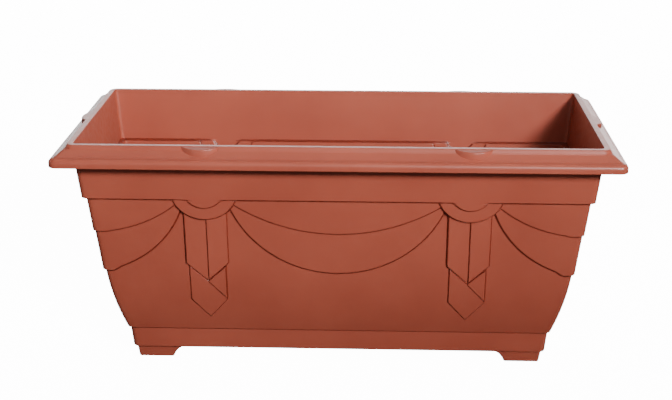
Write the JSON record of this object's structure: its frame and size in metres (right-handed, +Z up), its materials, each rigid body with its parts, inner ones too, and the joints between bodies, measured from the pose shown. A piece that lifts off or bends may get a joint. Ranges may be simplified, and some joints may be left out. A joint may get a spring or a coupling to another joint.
{
  "type": "window box planter",
  "caption": "Long tapered plastic window box planter, open at the top, with a down-turned rim, swag and ribbon relief, a set-back base band and corner feet.",
  "frame": {"origin": "on the floor, under the middle of the trough", "axes": "+X along the long side, +Y to the back, +Z up"},
  "size_m": [0.6, 0.27, 0.27],
  "materials": {
    "terracotta_polypropylene": "satin injection-moulded polypropylene, self-coloured terracotta"
  },
  "bodies": {
    "root": {"rim": "terracotta_polypropylene", "lug_front_left": "terracotta_polypropylene", "lug_front_right": "terracotta_polypropylene", "lug_back_left": "terracotta_polypropylene", "lug_back_right": "terracotta_polypropylene", "lug_left_end": "terracotta_polypropylene", "lug_right_end": "terracotta_polypropylene", "wall_front": "terracotta_polypropylene", "wall_back": "terracotta_polypropylene", "wall_left_end": "terracotta_polypropylene", "wall_right_end": "terracotta_polypropylene", "trough_floor": "terracotta_polypropylene", "foot_front_left": "terracotta_polypropylene", "foot_front_right": "terracotta_polypropylene", "foot_back_left": "terracotta_polypropylene", "foot_back_right": "terracotta_polypropylene"}
  },
  "joints": []
}
